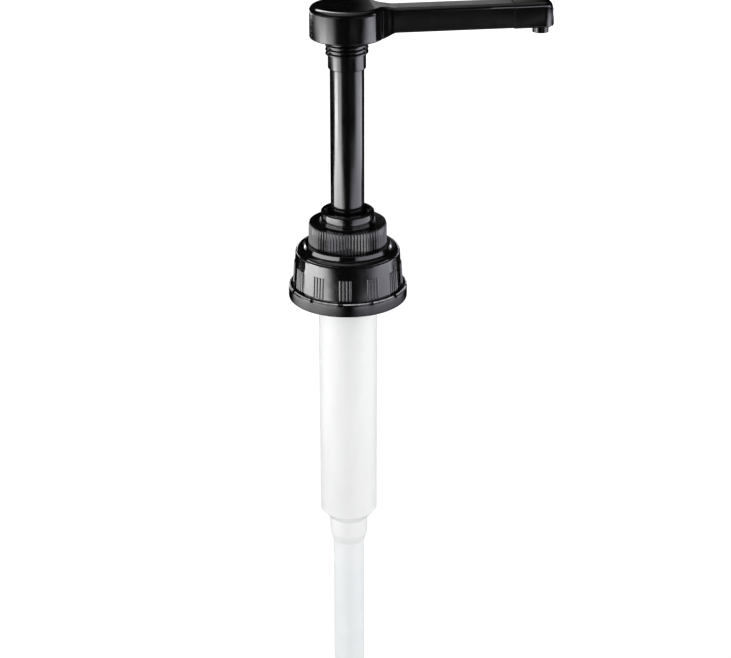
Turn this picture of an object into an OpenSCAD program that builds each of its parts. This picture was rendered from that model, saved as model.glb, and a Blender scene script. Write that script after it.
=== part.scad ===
// Fruit puree pump: a hand-pressed lever-head pump that screws onto a 38 mm bottle neck.
// Millimetres, +Z up, spout towards +X.
// The origin is on the pump's axis, in the plane where the neck gasket rests on the bottle's rim.

/* [Closure] */
// Bore of the closure's skirt, which takes the threaded bottle neck
neck_bore_d = 37.9; // [35:0.1:39]
// Wall of the skirt at its top
skirt_wall = 1.6; // [1.2:0.05:3]
// How far the skirt's foot stands out past its top, on each side
skirt_flare = 0.85; // [0.2:0.05:1.5]
// Depth of the skirt below the bottle's rim
skirt_depth = 15.1; // [13:0.1:22]
// Reach of the foot flange past the skirt
flange_reach = 2; // [1.2:0.05:3.5]
// Height of the foot flange
flange_h = 5.3; // [3:0.1:5.6]
// Round on the flange's edges
flange_round = 0.9; // [0.3:0.1:1.2]
// Thickness of the closure's top wall
top_wall = 2.6; // [1.4:0.1:3.5]
// Round of the shoulder between the top and the skirt
shoulder_r = 2.3; // [0.8:0.1:2.6]
// Height of the hub that rises round the collar
hub_h = 1.4; // [0.6:0.1:2]
// Ledge on top of that hub, outside the collar
hub_ledge = 1.5; // [0.6:0.1:1.8]
// Width of the hub's slope
hub_w = 0.6; // [0.3:0.1:1]

/* [Closure grip] */
// Number of grip rib groups round the skirt
rib_groups = 12; // [6:1:16]
// Ribs in each group
ribs_per_group = 4; // [2:1:5]
// Spacing of the ribs in a group
rib_pitch = 1.31; // [1:0.01:1.6]
// Width of one rib
rib_w = 0.9; // [0.6:0.05:1]
// How far a rib stands out of the skirt
rib_stand = 0.35; // [0.2:0.05:0.42]
// Height of the ribs
rib_h = 8.2; // [5:0.1:8.6]
// Gap between the flange and the ribs' feet
rib_lift = 0.7; // [0.3:0.1:1.2]
// Turn of the whole rib pattern about the axis
rib_phase = 19; // [0:1:30]
// Width of the notches in the flange's upper edge
notch_w = 1.7; // [1:0.1:3]
// Turn of the notches against the rib groups
notch_lag = -4.3; // [-10:0.1:10]

/* [Pump cylinder] */
// Bore of the cylinder that the piston runs in
chamber_d = 20.6; // [18:0.1:21.6]
// Wall of the cylinder
cylinder_wall = 1.3; // [1:0.05:1.6]
// Wall of the cylinder's upper neck, which carries the collar
upper_neck_wall = 2.5; // [1.8:0.1:3]
// Depth from the bottle's rim to the start of the inner cone
chamber_depth = 110.2; // [102:0.1:130]
// Thickness of the flange that rests on the gasket
seat_flange_t = 1.8; // [1.2:0.1:2.6]
// Clearance of the seat flange in the closure's bore
seat_flange_gap = 1.55; // [1.2:0.05:2]
// Rise of the inner and outer cones for each mm of radius
cone_rise = 1.15; // [0.9:0.05:1.4]
// Bore of the inlet valve's seat
inlet_seat_d = 7.2; // [6.4:0.1:7.4]
// Thickness of the web under the inlet seat
inlet_web = 1.2; // [0.8:0.1:2]
// Depth of the socket that holds the dip tube
tube_socket = 6.9; // [6:0.1:9]
// Wall of the tube socket
tube_socket_wall = 1.3; // [1:0.05:1.6]
// Length of the socket's tapered lip
tube_lip = 3.6; // [2:0.1:4.5]

/* [Dip tube] */
// Outside diameter of the dip tube
tube_d = 12.8; // [12:0.1:14]
// Wall of the dip tube
tube_wall = 1.2; // [0.8:0.05:1.6]
// Length of the dip tube to the point of its slanted end
tube_len = 83; // [60:1:200]
// Slant of the tube's cut end
tube_cut = 45; // [20:1:55]

/* [Seals] */
// Thickness of the neck gasket
gasket_t = 1.2; // [0.8:0.1:2]
// Thickness of the seal between cylinder and stem guide
collar_seal_t = 0.8; // [0.6:0.1:1.2]
// Height of the stem wiper
wiper_h = 1.6; // [1.2:0.1:2]
// Radial thickness of the wiper
wiper_t = 1.5; // [1.2:0.05:1.7]
// Thickness of the flat seal on top of the stem
stem_seal_t = 1; // [0.8:0.1:1.4]

/* [Lock collar] */
// Height of the knurled ring
knurl_h = 8.5; // [6.5:0.1:10]
// Wall of the knurled ring outside the cylinder's neck, at its foot
knurl_wall = 2.5; // [1.9:0.05:3]
// How far the knurled ring draws in towards its top
knurl_draft = 0.1; // [0:0.05:0.3]
// Number of knurl ridges
knurl_n = 76; // [48:1:84]
// Depth of the knurl
knurl_depth = 0.45; // [0.2:0.05:0.6]
// Thickness of the collar's top wall
collar_top = 1.8; // [1.4:0.1:2.4]
// Height of the boss above the knurled ring
boss_h = 4.9; // [4:0.1:8]
// Wall of the boss round the lock bore
boss_wall = 1.95; // [1.4:0.05:2.5]
// Height of the bead at the boss's foot
bead_h = 1; // [0.8:0.1:2]
// How far the bead stands out of the boss
bead_stand = 0.3; // [0.2:0.05:0.6]

/* [Stem and guide] */
// Outside diameter of the stem
stem_d = 13.1; // [12:0.1:14]
// Wall of the stem
stem_wall = 2; // [1.6:0.05:2.4]
// Wall of the stem's upper spigot
spigot_wall = 1.05; // [0.8:0.05:1.3]
// Stem in view between the collar and the head's plug, at rest
stem_rise = 56.7; // [40:0.1:60]
// Height of the stem's shoulder above the piston
shoulder_h = 1.9; // [1.4:0.1:3]
// How far that shoulder stands out of the stem
shoulder_out = 1.1; // [0.8:0.05:1.3]
// Thickness of the guide's flange
guide_flange_t = 1.6; // [1.2:0.1:2.2]
// Length of the guide's bearing below the wiper
guide_land = 12.1; // [8:0.1:16]
// Wall of the guide outside the wiper
guide_wall = 1.2; // [0.9:0.05:1.3]

/* [Piston] */
// Length of the piston seal
piston_len = 12; // [10:0.1:16]
// Width of the piston seal's lips
lip_w = 0.75; // [0.5:0.05:0.9]
// Depth of the groove behind each lip
lip_groove = 3; // [2:0.1:3.5]
// Thickness of the foot's flange under the seal
foot_flange_t = 1.9; // [1.4:0.1:2.6]
// Length of the foot's spigot in the stem
foot_spigot = 10.5; // [9:0.1:13]
// Length of the pilot that centres the spring
foot_pilot = 5.6; // [4:0.1:8]
// Bore of the outlet valve's seat
outlet_seat_d = 4.4; // [4:0.1:4.6]
// Thickness of the thrust washer
washer_t = 1; // [0.8:0.1:1.6]

/* [Valves and spring] */
// Diameter of the inlet ball
inlet_ball_d = 10; // [9.5:0.1:10.4]
// Lift of the inlet ball
inlet_lift = 2.8; // [1.5:0.1:3.5]
// Height of the cage's ring and of its bars
cage_bar_h = 2; // [1.4:0.1:3]
// Width of the cage's ring
cage_ring_w = 2.8; // [2:0.1:3]
// Width of the cage's bars
cage_bar_w = 2.4; // [1.6:0.1:3]
// Diameter of the outlet ball
outlet_ball_d = 6.8; // [6.6:0.1:7]
// Lift of the outlet ball
outlet_lift = 2.8; // [1.5:0.1:3.5]
// Height of the outlet stop
stop_h = 3; // [2:0.1:4]
// Wall of the outlet stop's ring
stop_wall = 0.95; // [0.7:0.05:1.1]
// Width of the outlet stop's bars
stop_bar_w = 1.6; // [1:0.1:2]
// Wire diameter of the return spring
wire_d = 1.4; // [1:0.1:1.6]
// Turns of the return spring
spring_turns = 13; // [9:1:15]
// Room between the spring and the cylinder's bore
spring_room = 1.2; // [0.9:0.1:1.5]

/* [Head] */
// Diameter of the head's disc
disc_d = 28.2; // [26:0.1:32]
// Height of the head's disc
head_h = 12.2; // [11:0.1:14]
// How far the arm's top lies below the disc's top
arm_drop = 1; // [0:0.1:1.4]
// Length of the plug under the head
plug_len = 11.9; // [8:0.1:13.5]
// Wall of the plug round the stem's spigot
plug_wall = 1.6; // [1.2:0.05:2]
// Height of the plug's lock thread, which the collar's bore clears
thread_h = 0.9; // [0.6:0.05:1.1]
// Width of the arm
arm_w = 10.2; // [9.4:0.1:12]
// Height of the arm
arm_h = 9.3; // [8.2:0.1:9.6]
// Length of the arm from the axis to the tip's seam
arm_len = 63; // [45:0.1:80]
// Flow bore through the arm
arm_bore_d = 6; // [5:0.1:6.4]
// Round in plan between disc and arm
web_r = 3; // [2:0.1:8.5]
// Length of the ramp under the arm, from the disc's edge
ramp_len = 5; // [3:0.1:8]
// Round on the disc's upper edge
head_round = 2; // [0.8:0.1:2.4]
// Round on the arm's upper edges
arm_round = 1.6; // [0.8:0.1:2]
// Round on the head's lower edge
foot_round = 0.6; // [0.3:0.1:0.8]
// Depth of the moulded pocket under the disc
pocket_depth = 8.6; // [3:0.1:9]
// Wall of the disc outside the pocket
disc_wall = 1.5; // [1.2:0.1:2]

/* [Spout tip] */
// Length of the spigot that the tip is pushed onto
tip_spigot = 8; // [6:0.1:9]
// Wall of that spigot
tip_spigot_wall = 1; // [0.8:0.05:1]
// How far the tip stands proud of the arm all round
tip_step = 0.2; // [0.1:0.05:0.5]
// Distance from the seam to the outlet's axis
tip_reach = 11.3; // [11:0.1:16]
// Length of the rounded nose past the outlet's axis
tip_nose = 5; // [4.4:0.1:6]
// Length of the round over the nose
nose_slope = 2.8; // [1.4:0.1:3.4]
// Height of that round
nose_fall = 5; // [2:0.1:6]
// Bore of the outlet
outlet_d = 4.6; // [3.6:0.1:4.8]
// Outside diameter of the outlet stub
stub_d = 6.2; // [5.6:0.1:7]
// Length of the outlet stub
stub_len = 2.6; // [1:0.1:6]

/* [Clearances] */
// Gap on the radius of pieces that are pushed together
press_gap = 0.05; // [0.03:0.01:0.08]
// Gap on the radius of running fits
run_gap = 0.06; // [0.04:0.01:0.1]
// End play of the closure, the collar and the piston
spin_gap = 0.2; // [0.15:0.01:0.3]
// Room between pieces that pass each other freely
free_gap = 0.3; // [0.25:0.01:0.4]
// Room between a ball and its seat
ball_gap = 0.1; // [0.06:0.01:0.14]

/* [Hidden] */
$fn = 96;

black = [0.05, 0.05, 0.055];
milky = [0.93, 0.94, 0.94];
frosted = [0.86, 0.9, 0.9];
seal_grey = [0.32, 0.33, 0.34];
steel = [0.75, 0.76, 0.78];

// Heights from the bottle's rim upwards
seat_flange_z = gasket_t + seat_flange_t;
ceiling_z = seat_flange_z + spin_gap;
closure_top_z = ceiling_z + top_wall;
hub_top_z = closure_top_z + hub_h;
collar_z = hub_top_z + spin_gap;
knurl_top_z = collar_z + knurl_h;
boss_top_z = knurl_top_z + boss_h;
collar_roof_z = knurl_top_z - collar_top;
guide_flange_z = collar_roof_z - guide_flange_t;
upper_neck_z = guide_flange_z - collar_seal_t;
plug_z = boss_top_z + stem_rise;
head_z = plug_z + plug_len;
head_top_z = head_z + head_h;
arm_top_z = head_top_z - arm_drop;
arm_z = arm_top_z - arm_h;
flow_z = arm_top_z - arm_h / 2;

// Heights downwards: the plug's end reaches the guide's counterbore when the head is screwed down
counterbore_z = boss_top_z - plug_len - free_gap;
wiper_z = counterbore_z - wiper_h;
guide_end_z = wiper_z - guide_land;
piston_top_z = guide_end_z - free_gap;
piston_end_z = piston_top_z - piston_len;
foot_top_z = piston_end_z - spin_gap;
foot_flange_z = foot_top_z - foot_flange_t;
washer_top_z = foot_flange_z - spin_gap;
washer_z = washer_top_z - washer_t;
foot_end_z = foot_flange_z - foot_pilot;
shoulder_z = piston_top_z - spin_gap - shoulder_h;

// Radii
neck_r = neck_bore_d / 2;
skirt_top_r = neck_r + skirt_wall;
skirt_foot_r = skirt_top_r + skirt_flare;
flange_r = skirt_foot_r + flange_reach;
stem_r = stem_d / 2;
bearing_r = stem_r + run_gap;
wiper_r = bearing_r + wiper_t;
guide_r = wiper_r + press_gap + guide_wall;
chamber_r = chamber_d / 2;
cylinder_r = chamber_r + cylinder_wall;
// Round the guide, the bore opens out where the piston's bore is too narrow for it
guide_bore_r = max(chamber_r, guide_r + free_gap);
upper_neck_r = guide_bore_r + upper_neck_wall;
closure_hole_r = upper_neck_r + free_gap;
knurl_r = upper_neck_r + press_gap + knurl_wall;
hub_r = knurl_r + hub_ledge + hub_w;
seat_flange_r = neck_r - seat_flange_gap;
tube_r = tube_d / 2;
tube_bore_r = tube_r - tube_wall;
socket_r = tube_r + press_gap;
socket_out_r = socket_r + tube_socket_wall;
inlet_seat_r = inlet_seat_d / 2;
stem_bore_r = stem_r - stem_wall;
spigot_r = stem_bore_r + spigot_wall;
plug_r = spigot_r + press_gap + plug_wall;
lock_bore_r = plug_r + thread_h + free_gap;
boss_r = lock_bore_r + boss_wall;
counterbore_r = plug_r + free_gap;
shoulder_r2 = stem_r + shoulder_out;
lip_r = chamber_r - run_gap;
// The spring is wound in straight steps, so its inside comes in a little between two of them
rings_per_turn = 8;
wire_sides = 6;
spring_r = chamber_r - spring_room - wire_d / 2;
pilot_r = (spring_r - wire_d / 2) * cos(180 / rings_per_turn) - free_gap;
washer_r = spring_r + wire_d / 2 + free_gap;
foot_flange_r = washer_r - free_gap;
outlet_seat_r = outlet_seat_d / 2;
foot_spigot_r = stem_bore_r - press_gap;

// The cylinder's foot: the inner cone ends at the inlet seat, the outer one at the tube socket
cone_wall_drop = 0.6;
inlet_seat_z = -chamber_depth - (chamber_r - inlet_seat_r) * cone_rise;
web_z = inlet_seat_z - inlet_web;
outer_cone_z = -chamber_depth - cone_wall_drop;
socket_top_z = outer_cone_z - (cylinder_r - socket_out_r) * cone_rise;
socket_end_z = web_z - tube_socket;
tube_top_z = web_z - press_gap;
tube_end_z = tube_top_z - tube_len;

// A ball rests in a cone of half angle "half" whose point is at "apex"
function ball_z(apex, half, r) = apex + (r + ball_gap) / sin(half);
inlet_half = atan(1 / cone_rise);
inlet_ball_r = inlet_ball_d / 2;
inlet_ball_z = ball_z(inlet_seat_z - inlet_seat_r * cone_rise, inlet_half, inlet_ball_r);
cage_bar_z = inlet_ball_z + inlet_ball_r + inlet_lift + free_gap;
cage_top_z = cage_bar_z + cage_bar_h;
outlet_ball_r = outlet_ball_d / 2;
foot_spigot_z = foot_top_z + foot_spigot;
outlet_cone = 1.4;
outlet_apex_z = foot_spigot_z - outlet_cone - outlet_seat_r;
outlet_ball_z = ball_z(outlet_apex_z, 45, outlet_ball_r);
stop_z = outlet_ball_z + outlet_ball_r + outlet_lift + free_gap;

// Points of an arc about [cr, cz], from angle a0 to a1
function arc(cr, cz, r, a0, a1, n = 8) =
    [for (i = [0 : n]) let (a = a0 + (a1 - a0) * i / n) [cr + r * cos(a), cz + r * sin(a)]];

module revolve(profile) {
    rotate_extrude() polygon(profile);
}

module ring(r_in, r_out, z0, z1) {
    revolve([[r_in, z0], [r_out, z0], [r_out, z1], [r_in, z1]]);
}

// Housing

module pump_cylinder() {
    guide_step = guide_bore_r > chamber_r
        ? [[guide_bore_r, guide_end_z], [chamber_r, guide_end_z - free_gap / 2]] : [];
    color(milky) revolve(concat([
        [socket_r, socket_end_z],
        [socket_r + tube_socket_wall * 0.2, socket_end_z],
        [socket_out_r, socket_end_z + tube_lip],
        [socket_out_r, socket_top_z],
        [cylinder_r, outer_cone_z],
        [cylinder_r, gasket_t],
        [seat_flange_r, gasket_t],
        [seat_flange_r, seat_flange_z],
        [upper_neck_r, seat_flange_z],
        [upper_neck_r, upper_neck_z],
        [guide_bore_r, upper_neck_z]],
        guide_step,
        [[chamber_r, -chamber_depth],
        [inlet_seat_r, inlet_seat_z],
        [inlet_seat_r, web_z],
        [socket_r, web_z]]));
}

module dip_tube() {
    slab = tube_d * 4;
    color(frosted) difference() {
        ring(tube_bore_r, tube_r, tube_end_z, tube_top_z);
        translate([-tube_r, 0, tube_end_z])
            rotate([0, -tube_cut, 0])
                translate([-slab, -slab / 2, -slab])
                    cube([slab * 2, slab, slab]);
    }
}

module cage_bar(length) {
    translate([-length / 2, -cage_bar_w / 2, cage_bar_z])
        cube([length, cage_bar_w, cage_bar_h]);
}

// Ring that seats on the inner cone, with crossed bars that stop the ball and four fingers that guide it
module inlet_cage() {
    ring_r = chamber_r - press_gap;
    finger_r = inlet_ball_r + free_gap;
    finger_t = 1.4;
    color(milky) union() {
        ring(ring_r - cage_ring_w, ring_r, press_gap - chamber_depth, cage_top_z);
        intersection() {
            union() {
                cage_bar(chamber_d);
                rotate([0, 0, 90]) cage_bar(chamber_d);
            }
            cylinder(r = ring_r - cage_ring_w / 2, h = 4 * chamber_depth, center = true);
        }
        intersection() {
            ring(finger_r, finger_r + finger_t, inlet_ball_z, cage_bar_z + cage_bar_h / 2);
            union() {
                translate([-chamber_r, -cage_bar_w / 2, inlet_ball_z]) cube([chamber_d, cage_bar_w, chamber_d]);
                translate([-cage_bar_w / 2, -chamber_r, inlet_ball_z]) cube([cage_bar_w, chamber_d, chamber_d]);
            }
        }
    }
}

module inlet_ball() {
    color(steel) translate([0, 0, inlet_ball_z]) sphere(r = inlet_ball_r);
}

// Return spring: one wire with a closed turn at each end, squashed flat against its two seats
spring_low_z = cage_top_z + ball_gap + wire_d / 2;
spring_high_z = washer_z - ball_gap - wire_d / 2;
closed_pitch = wire_d + 0.55;
open_pitch = (spring_high_z - spring_low_z - 2 * closed_pitch) / (spring_turns - 2);
spring_rings = spring_turns * rings_per_turn;

function spring_height(t) =
    t < 1 ? closed_pitch * t
    : t < spring_turns - 1 ? closed_pitch + open_pitch * (t - 1)
    : closed_pitch * (t - spring_turns + 2) + open_pitch * (spring_turns - 2);
function spring_point(i) = let (t = i / rings_per_turn)
    [spring_r * cos(360 * t), spring_r * sin(360 * t), spring_low_z + spring_height(t)];
function wire_point(i, k) = let (t = i / rings_per_turn, a = 360 * k / wire_sides, p = spring_point(i))
    p + wire_d / 2 * [cos(a) * cos(360 * t), cos(a) * sin(360 * t), sin(a)];

spring_gap = min([for (i = [0 : spring_rings]) for (j = [i + 4 : 1 : spring_rings])
    norm(spring_point(i) - spring_point(j))]) - wire_d;
echo(str("Least gap between the return spring's turns, mm: ", spring_gap));

module return_spring() {
    wire = [for (i = [0 : spring_rings]) for (k = [0 : wire_sides - 1]) wire_point(i, k)];
    function id(i, k) = i * wire_sides + k % wire_sides;
    walls = [for (i = [0 : spring_rings - 1]) for (k = [0 : wire_sides - 1]) each
        [[id(i, k), id(i, k + 1), id(i + 1, k + 1)], [id(i, k), id(i + 1, k + 1), id(i + 1, k)]]];
    first = [for (k = [1 : wire_sides - 2]) [id(0, 0), id(0, k + 1), id(0, k)]];
    last = [for (k = [1 : wire_sides - 2])
        [id(spring_rings, 0), id(spring_rings, k), id(spring_rings, k + 1)]];
    color(steel) polyhedron(wire, concat(walls, first, last));
}

module neck_gasket() {
    color(seal_grey) ring(cylinder_r + free_gap, seat_flange_r, 0, gasket_t);
}

// Closure

skirt_top_z = closure_top_z - shoulder_r;
flange_top_z = flange_h - skirt_depth;
skirt_lean = atan(skirt_flare / (skirt_top_z - flange_top_z));
function skirt_r(z) = skirt_foot_r - (z - flange_top_z) * tan(skirt_lean);

// A group of upright ribs that lean with the skirt's wall
module rib_group() {
    mid_z = flange_top_z + rib_lift + rib_h / 2;
    for (i = [0 : ribs_per_group - 1]) {
        turn = (i - (ribs_per_group - 1) / 2) * rib_pitch / skirt_r(mid_z) * 180 / PI;
        rotate([0, 0, turn])
            translate([skirt_r(mid_z) + rib_stand - rib_w / 2, 0, mid_z])
                rotate([0, -skirt_lean, 0])
                    cylinder(d = rib_w, h = rib_h, center = true, $fn = 24);
    }
}

module screw_closure() {
    lead = 0.6;
    color(black) difference() {
        union() {
            revolve(concat(
                [[neck_r + lead, -skirt_depth]],
                arc(flange_r - flange_round / 2, flange_round / 2 - skirt_depth, flange_round / 2, -90, 0, 4),
                arc(flange_r - flange_round, flange_top_z - flange_round, flange_round, 0, 90, 6),
                [[skirt_foot_r, flange_top_z]],
                arc(skirt_top_r - shoulder_r, skirt_top_z, shoulder_r, 0, 90, 10),
                [[hub_r, closure_top_z],
                 [hub_r - hub_w, hub_top_z],
                 [closure_hole_r, hub_top_z],
                 [closure_hole_r, ceiling_z],
                 [neck_r, ceiling_z],
                 [neck_r, lead - skirt_depth]]));
            for (g = [0 : rib_groups - 1])
                rotate([0, 0, rib_phase + g * 360 / rib_groups]) rib_group();
        }
        for (g = [0 : rib_groups - 1])
            rotate([0, 0, rib_phase + notch_lag + g * 360 / rib_groups])
                translate([flange_r - flange_round * 1.1, -notch_w / 2, flange_top_z - flange_round * 1.1])
                    cube([flange_round * 2, notch_w, flange_round * 2]);
    }
}

// Lock collar: a knurled ring that holds the stem guide down, with a boss whose bore takes the head's thread

knurl_edge = 0.35;

// Outline of the ridges seen from above: each has a narrow crest and two slanted flanks down to a narrow groove
module knurl_star() {
    step = 360 / knurl_n;
    crest_r = knurl_r + 0.02;
    groove_r = knurl_r - knurl_depth;
    polygon([for (i = [0 : knurl_n - 1]) for (p = [[crest_r, -0.04], [crest_r, 0.04], [groove_r, 0.46], [groove_r, 0.54]])
        p[0] * [cos(step * (i + p[1])), sin(step * (i + p[1]))]]);
}

// Crest surface of the whole collar: knurled ring, cove, bead and boss
module collar_envelope() {
    cove = 0.3;
    bead_r = boss_r + bead_stand;
    revolve(concat(
        [[0, collar_z],
         [knurl_r - knurl_edge / 2, collar_z],
         [knurl_r, collar_z + knurl_edge],
         [knurl_r - knurl_draft, knurl_top_z - knurl_edge],
         [knurl_r - knurl_draft - knurl_edge, knurl_top_z]],
        arc(bead_r + cove, knurl_top_z + cove, cove, 270, 180, 6),
        arc(bead_r - bead_h / 4, knurl_top_z + cove + bead_h * 0.75, bead_h / 4, 0, 90, 4),
        [[boss_r, knurl_top_z + cove + bead_h]],
        arc(boss_r - 0.6, boss_top_z - 0.6, 0.6, 0, 90, 5),
        [[0, boss_top_z]]));
}

module lock_collar() {
    core_r = knurl_r - knurl_depth - 0.3;
    color(black) difference() {
        intersection() {
            collar_envelope();
            union() {
                translate([0, 0, collar_z - 1]) cylinder(r = core_r, h = boss_top_z - collar_z + 2);
                translate([0, 0, collar_z - 1]) linear_extrude(knurl_h + 2) knurl_star();
            }
        }
        translate([0, 0, collar_z - 1])
            cylinder(r = upper_neck_r + press_gap, h = collar_roof_z - collar_z + 1);
        cylinder(r = lock_bore_r, h = boss_top_z + 1);
        translate([0, 0, boss_top_z - 0.3]) cylinder(r1 = lock_bore_r, r2 = lock_bore_r + 0.4, h = 0.4);
    }
}

module collar_seal() {
    color(seal_grey) ring(guide_bore_r + press_gap, upper_neck_r - free_gap, upper_neck_z, guide_flange_z);
}

module stem_guide() {
    color(milky) revolve([
        [bearing_r, guide_end_z],
        [guide_r, guide_end_z],
        [guide_r, guide_flange_z],
        [upper_neck_r - press_gap, guide_flange_z],
        [upper_neck_r - press_gap, collar_roof_z],
        [counterbore_r, collar_roof_z],
        [counterbore_r, counterbore_z],
        [wiper_r + press_gap, counterbore_z],
        [wiper_r + press_gap, wiper_z],
        [bearing_r, wiper_z]]);
}

// Wiper ring with a raised lip that strips the stem
module stem_wiper() {
    lip = wiper_h * 0.35;
    color(seal_grey) revolve([
        [bearing_r + wiper_t * 0.35, wiper_z + press_gap],
        [wiper_r, wiper_z + press_gap],
        [wiper_r, counterbore_z - press_gap],
        [bearing_r, counterbore_z - press_gap],
        [bearing_r, counterbore_z - press_gap - lip]]);
}

// Piston

// Two cup lips, one each way, on a body that the stem's shoulder presses and the foot lifts
module piston_seal() {
    bore_r = stem_r + run_gap;
    recess_r = shoulder_r2 + free_gap / 2;
    recess_z = shoulder_z - spin_gap / 2;
    body_r = max(lip_r - 2 * lip_w, recess_r + lip_w / 2);
    lip_in = lip_r - lip_w;
    color(milky) revolve([
        [recess_r, piston_top_z],
        [body_r, piston_top_z],
        [body_r, piston_top_z - lip_groove],
        [lip_in, piston_top_z - lip_groove],
        [lip_in + lip_w / 2, piston_top_z],
        [lip_r, piston_top_z - lip_w],
        [lip_r, piston_top_z - lip_groove],
        [lip_in, piston_top_z - lip_groove - lip_w * 2],
        [lip_in, piston_end_z + lip_groove + lip_w * 2],
        [lip_r, piston_end_z + lip_groove],
        [lip_r, piston_end_z + lip_w],
        [lip_in + lip_w / 2, piston_end_z],
        [lip_in, piston_end_z + lip_groove],
        [body_r, piston_end_z + lip_groove],
        [body_r, piston_end_z],
        [bore_r, piston_end_z],
        [bore_r, recess_z],
        [recess_r, recess_z]]);
}

module thrust_washer() {
    color(steel) ring(pilot_r + free_gap / 2, washer_r, washer_z, washer_top_z);
}

// Foot pushed into the stem's end: it lifts the seal, pilots the spring and holds the outlet seat
module piston_foot() {
    pilot_wall = 1.5;
    color(black) revolve([
        [pilot_r - pilot_wall, foot_end_z],
        [pilot_r, foot_end_z],
        [pilot_r, foot_flange_z],
        [foot_flange_r, foot_flange_z],
        [foot_flange_r, foot_top_z],
        [foot_spigot_r, foot_top_z],
        [foot_spigot_r, foot_spigot_z],
        [outlet_seat_r + outlet_cone, foot_spigot_z],
        [outlet_seat_r, foot_spigot_z - outlet_cone],
        [outlet_seat_r, foot_top_z]]);
}

module outlet_ball() {
    color(steel) translate([0, 0, outlet_ball_z]) sphere(r = outlet_ball_r);
}

// Crossed bars in a ring, pushed into the stem above the outlet ball
module outlet_stop() {
    ring_r = stem_bore_r - press_gap;
    rim = 0.3;
    color(milky) union() {
        ring(ring_r - stop_wall, ring_r, stop_z - rim, stop_z + stop_h);
        for (a = [0, 90])
            rotate([0, 0, a])
                translate([stop_wall / 2 - ring_r, -stop_bar_w / 2, stop_z])
                    cube([2 * ring_r - stop_wall, stop_bar_w, stop_h - rim]);
    }
}

module pump_stem() {
    spigot_z = plug_z - press_gap;
    stem_top_z = head_z + stem_seal_t;
    color(black) revolve([
        [stem_bore_r, foot_top_z + press_gap],
        [stem_r, foot_top_z + press_gap],
        [stem_r, shoulder_z],
        [shoulder_r2, shoulder_z],
        [shoulder_r2, shoulder_z + shoulder_h],
        [stem_r, shoulder_z + shoulder_h],
        [stem_r, spigot_z],
        [spigot_r, spigot_z],
        [spigot_r, stem_top_z],
        [stem_bore_r, stem_top_z]]);
}

// Head

socket_roof_z = head_z + 2 * stem_seal_t;

module stem_seal() {
    color(seal_grey) ring(stem_bore_r, spigot_r, head_z + stem_seal_t, socket_roof_z);
}

// Outline points are [x, y, normal x, normal y] along the +Y side, from the back to the front
disc_r = disc_d / 2;
arm_half = arm_w / 2;
web_x = sqrt((disc_r + web_r) ^ 2 - (arm_half + web_r) ^ 2);
web_y = arm_half + web_r;
web_a = atan2(web_y, web_x);
back_a = 177;

// Smooth step from 0 at x0 to 1 at x1
function ease(x, x0, x1) = let (s = min(1, max(0, (x - x0) / (x1 - x0)))) s * s * (3 - 2 * s);
function ramp_floor(x) = head_z + (arm_z - head_z) * ease(x, disc_r - 1, disc_r - 1 + ramp_len);
function to_arm(x) = ease(x, disc_r - 3, disc_r + 4);

head_outline = concat(
    [for (i = [0 : 24]) let (a = back_a + (web_a - back_a) * i / 24)
        [disc_r * cos(a), disc_r * sin(a), cos(a), sin(a)]],
    [for (i = [1 : 8]) let (a = 180 + web_a + (90 - web_a) * i / 8)
        [web_x + web_r * cos(a), web_y + web_r * sin(a), -cos(a), -sin(a)]],
    [for (i = [1 : 4]) [web_x + ramp_len * i / 4, arm_half, 0, 1]],
    [[arm_len, arm_half, 0, 1]]);

// Body lofted along +X between mirrored outlines. Each station has a floor height, a top height and
// the length and height of the round on its upper edge; the lower edge has one round all along.
low_steps = 3;
high_steps = 7;

module lofted(outline, floor_z, top_z, over_round) {
    n = len(outline);
    m = low_steps + high_steps + 2;
    function inset(i, j) = j <= low_steps ? foot_round * (1 - sin(90 * j / low_steps))
        : over_round[i][0] * (1 - cos(90 * (j - low_steps - 1) / high_steps));
    function height(i, j) = j <= low_steps ? floor_z[i] + foot_round * (1 - cos(90 * j / low_steps))
        : top_z[i] - over_round[i][1] * (1 - sin(90 * (j - low_steps - 1) / high_steps));
    skin = [for (i = [0 : n - 1]) for (j = [0 : m - 1]) for (s = [1, -1])
        let (p = outline[i])
        [p[0] - inset(i, j) * p[2], s * (p[1] - inset(i, j) * p[3]), height(i, j)]];
    function id(i, j, s) = (i * m + j) * 2 + s;
    left = [for (i = [0 : n - 2]) for (j = [0 : m - 2]) each
        [[id(i + 1, j, 0), id(i + 1, j + 1, 0), id(i, j + 1, 0)], [id(i + 1, j, 0), id(i, j + 1, 0), id(i, j, 0)]]];
    right = [for (i = [0 : n - 2]) for (j = [0 : m - 2]) each
        [[id(i, j + 1, 1), id(i + 1, j + 1, 1), id(i + 1, j, 1)], [id(i, j, 1), id(i, j + 1, 1), id(i + 1, j, 1)]]];
    under = [for (i = [0 : n - 2]) [id(i, 0, 1), id(i + 1, 0, 1), id(i + 1, 0, 0), id(i, 0, 0)]];
    over = [for (i = [0 : n - 2])
        [id(i, m - 1, 0), id(i + 1, m - 1, 0), id(i + 1, m - 1, 1), id(i, m - 1, 1)]];
    back = [for (j = [0 : m - 2]) [id(0, j, 0), id(0, j + 1, 0), id(0, j + 1, 1), id(0, j, 1)]];
    front = [for (j = [0 : m - 2])
        [id(n - 1, j, 1), id(n - 1, j + 1, 1), id(n - 1, j + 1, 0), id(n - 1, j, 0)]];
    polyhedron(skin, concat(left, right, under, over, back, front));
}

module along_x(r, x0, x1) {
    translate([x0, 0, flow_z]) rotate([0, 90, 0]) cylinder(r = r, h = x1 - x0);
}

arm_bore_r = arm_bore_d / 2;
tip_spigot_r = arm_bore_r + tip_spigot_wall;

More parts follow.
